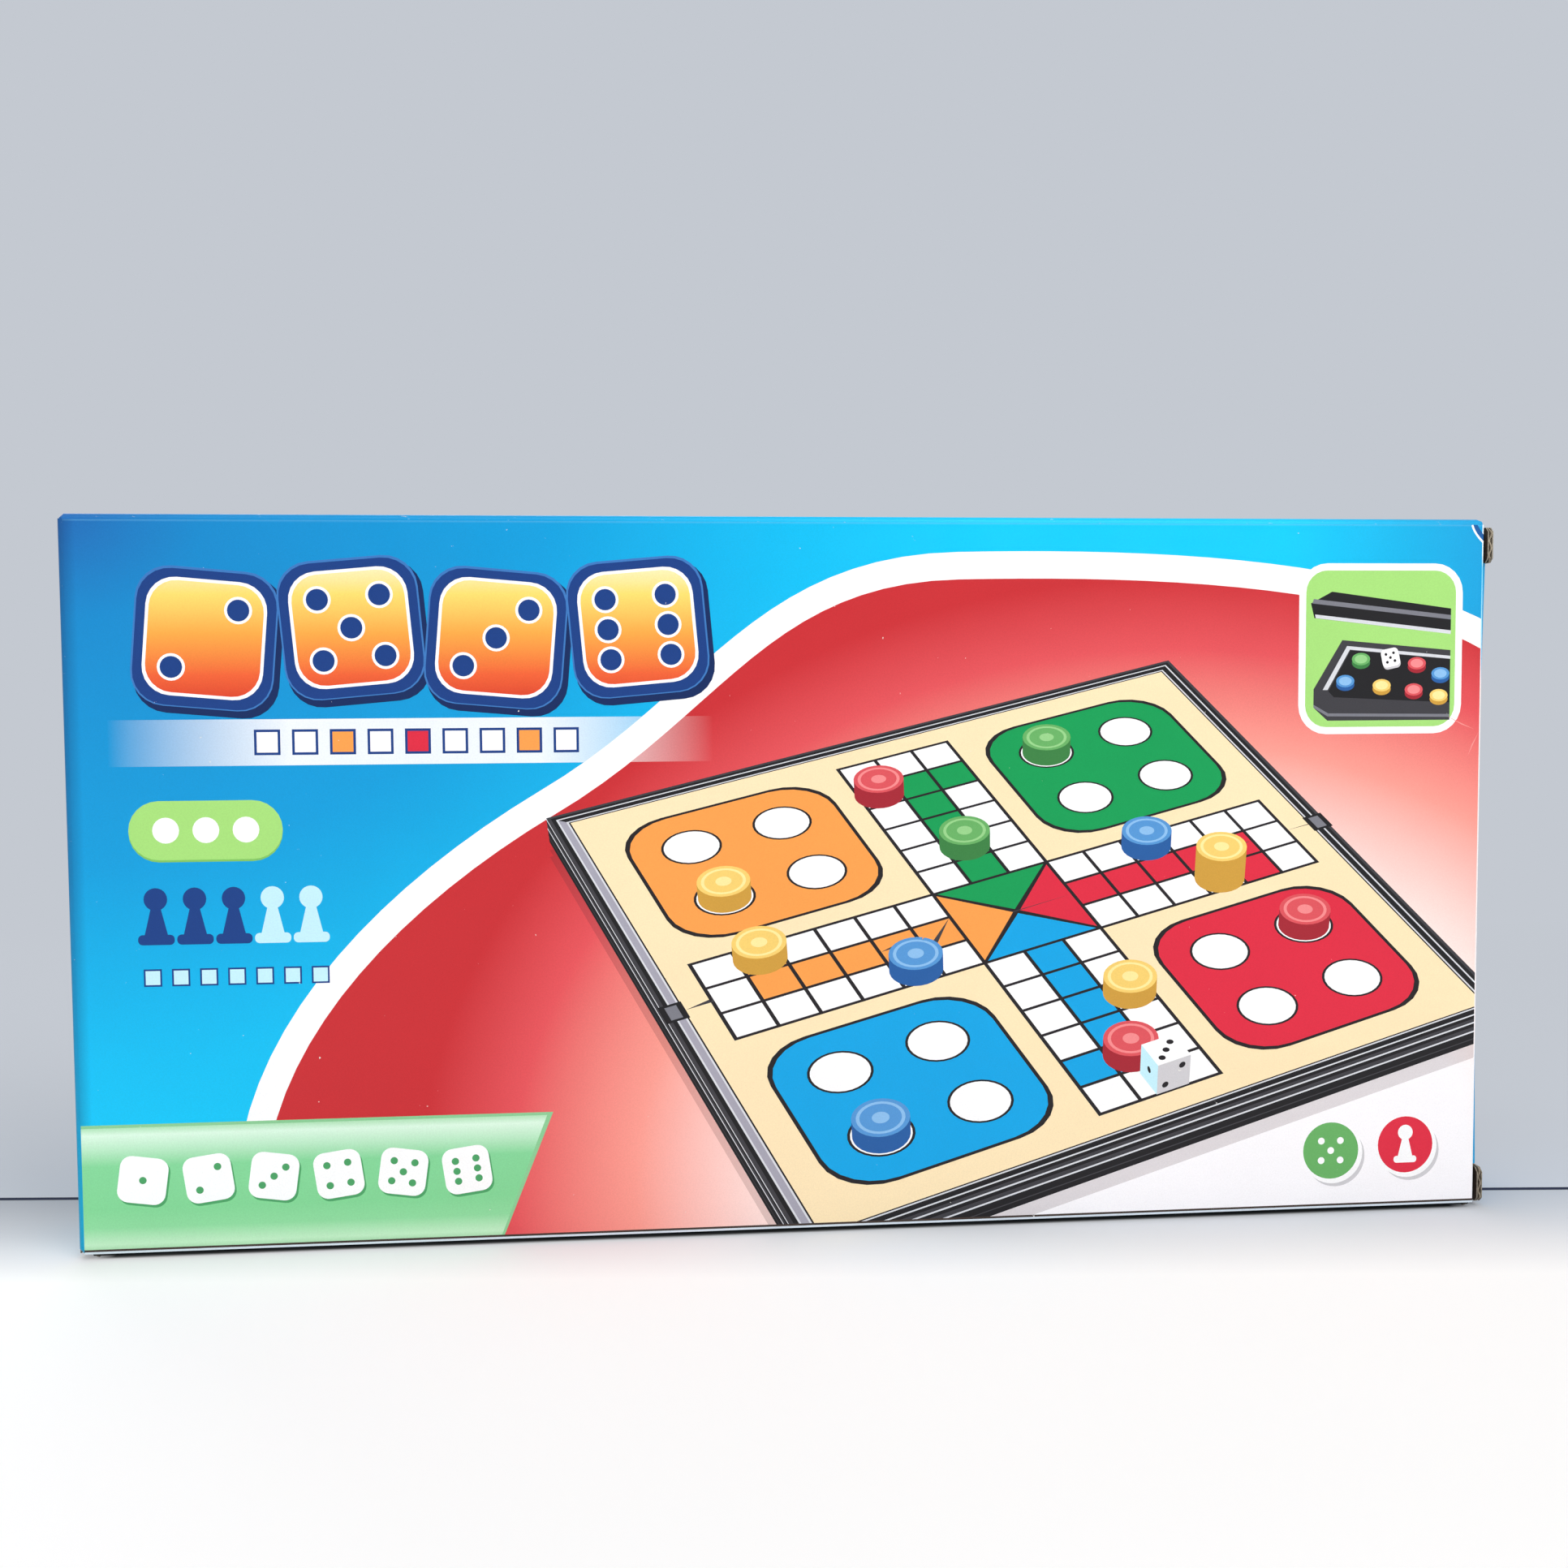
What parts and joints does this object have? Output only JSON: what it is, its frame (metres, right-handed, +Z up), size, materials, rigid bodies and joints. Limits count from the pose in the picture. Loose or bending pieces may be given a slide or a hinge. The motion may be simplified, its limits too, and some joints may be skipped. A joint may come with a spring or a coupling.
{
  "type": "folding ludo board game box",
  "caption": "Printed tuck-end carton on its long edge, holding a folding ludo board case with its counters and die.",
  "frame": {"origin": "on the floor, under the middle of the carton, which stands on its long edge", "axes": "+X along the carton, to the right as seen from the printed front; +Y from the front to the back; +Z up"},
  "size_m": [0.3354, 0.033, 0.1692],
  "materials": {
    "printed_board": "satin varnished print on thin corrugated board",
    "plain_board": "bare grey-brown recycled board",
    "case_plastic": "moulded black, half gloss",
    "board_sheet": "printed and laminated card",
    "pin_steel": "plain wire",
    "die_plastic": "polished white with black spots",
    "red_plastic": "moulded, glossy",
    "yellow_plastic": "moulded, glossy",
    "green_plastic": "moulded, glossy",
    "blue_plastic": "moulded, glossy"
  },
  "bodies": {
    "carton": {"front_panel": "printed_board", "back_panel": "printed_board", "top_panel": "printed_board", "bottom_panel": "printed_board", "glue_flap": "plain_board"},
    "right_main_flap": {"right_main_flap": "printed_board"},
    "right_tongue": {"right_tongue": "printed_board"},
    "right_top_dust_flap": {"right_top_dust_flap": "printed_board"},
    "right_bottom_dust_flap": {"right_bottom_dust_flap": "printed_board"},
    "left_main_flap": {"left_main_flap": "printed_board"},
    "left_tongue": {"left_tongue": "printed_board"},
    "left_top_dust_flap": {"left_top_dust_flap": "printed_board"},
    "left_bottom_dust_flap": {"left_bottom_dust_flap": "printed_board"},
    "board_case": {"front_case_half": "case_plastic", "rear_case_half": "case_plastic", "front_board_sheet": "board_sheet", "rear_board_sheet": "board_sheet", "right_hinge_pin": "pin_steel", "left_hinge_pin": "pin_steel", "die": "die_plastic", "red_counter_1": "red_plastic", "red_counter_2": "red_plastic", "red_counter_3": "red_plastic", "red_counter_4": "red_plastic", "yellow_counter_1": "yellow_plastic", "yellow_counter_2": "yellow_plastic", "yellow_counter_3": "yellow_plastic", "yellow_counter_4": "yellow_plastic", "green_counter_1": "green_plastic", "green_counter_2": "green_plastic", "green_counter_3": "green_plastic", "green_counter_4": "green_plastic", "blue_counter_1": "blue_plastic", "blue_counter_2": "blue_plastic", "blue_counter_3": "blue_plastic", "blue_counter_4": "blue_plastic"}
  },
  "joints": [
    {"name": "right_main_flap_crease", "type": "hinge", "parent": "carton", "child": "right_main_flap", "pos_m": [0.1677, 0.0165, 0.0846], "axis": [0, 0, 1], "range_deg": [0, 180]},
    {"name": "right_tongue_crease", "type": "hinge", "parent": "right_main_flap", "child": "right_tongue", "pos_m": [0.1663, -0.0123, 0.0846], "axis": [0, 0, -1], "range_deg": [0, 45]},
    {"name": "right_top_dust_flap_crease", "type": "hinge", "parent": "carton", "child": "right_top_dust_flap", "pos_m": [0.165, 0, 0.1692], "axis": [0, -1, 0], "range_deg": [0, 90]},
    {"name": "right_bottom_dust_flap_crease", "type": "hinge", "parent": "carton", "child": "right_bottom_dust_flap", "pos_m": [0.165, 0, 0], "axis": [0, 1, 0], "range_deg": [0, 90]},
    {"name": "left_main_flap_crease", "type": "hinge", "parent": "carton", "child": "left_main_flap", "pos_m": [-0.1677, -0.0165, 0.0846], "axis": [0, 0, 1], "range_deg": [0, 180]},
    {"name": "left_tongue_crease", "type": "hinge", "parent": "left_main_flap", "child": "left_tongue", "pos_m": [-0.1663, 0.0123, 0.0846], "axis": [0, 0, -1], "range_deg": [0, 45]},
    {"name": "left_top_dust_flap_crease", "type": "hinge", "parent": "carton", "child": "left_top_dust_flap", "pos_m": [-0.165, 0, 0.1692], "axis": [0, 1, 0], "range_deg": [0, 90]},
    {"name": "left_bottom_dust_flap_crease", "type": "hinge", "parent": "carton", "child": "left_bottom_dust_flap", "pos_m": [-0.165, 0, 0], "axis": [0, -1, 0], "range_deg": [0, 90]},
    {"name": "case_slide", "type": "slide", "parent": "carton", "child": "board_case", "axis": [1, 0, 0], "range_m": [-0.0033, 0.0033]}
  ],
  "couplings": [
    {"joint": "right_tongue_crease", "follows": "right_main_flap_crease", "ratio": 0.25},
    {"joint": "right_top_dust_flap_crease", "follows": "right_main_flap_crease", "ratio": 0.5},
    {"joint": "right_bottom_dust_flap_crease", "follows": "right_main_flap_crease", "ratio": 0.5},
    {"joint": "left_tongue_crease", "follows": "left_main_flap_crease", "ratio": 0.25},
    {"joint": "left_top_dust_flap_crease", "follows": "left_main_flap_crease", "ratio": 0.5},
    {"joint": "left_bottom_dust_flap_crease", "follows": "left_main_flap_crease", "ratio": 0.5}
  ]
}
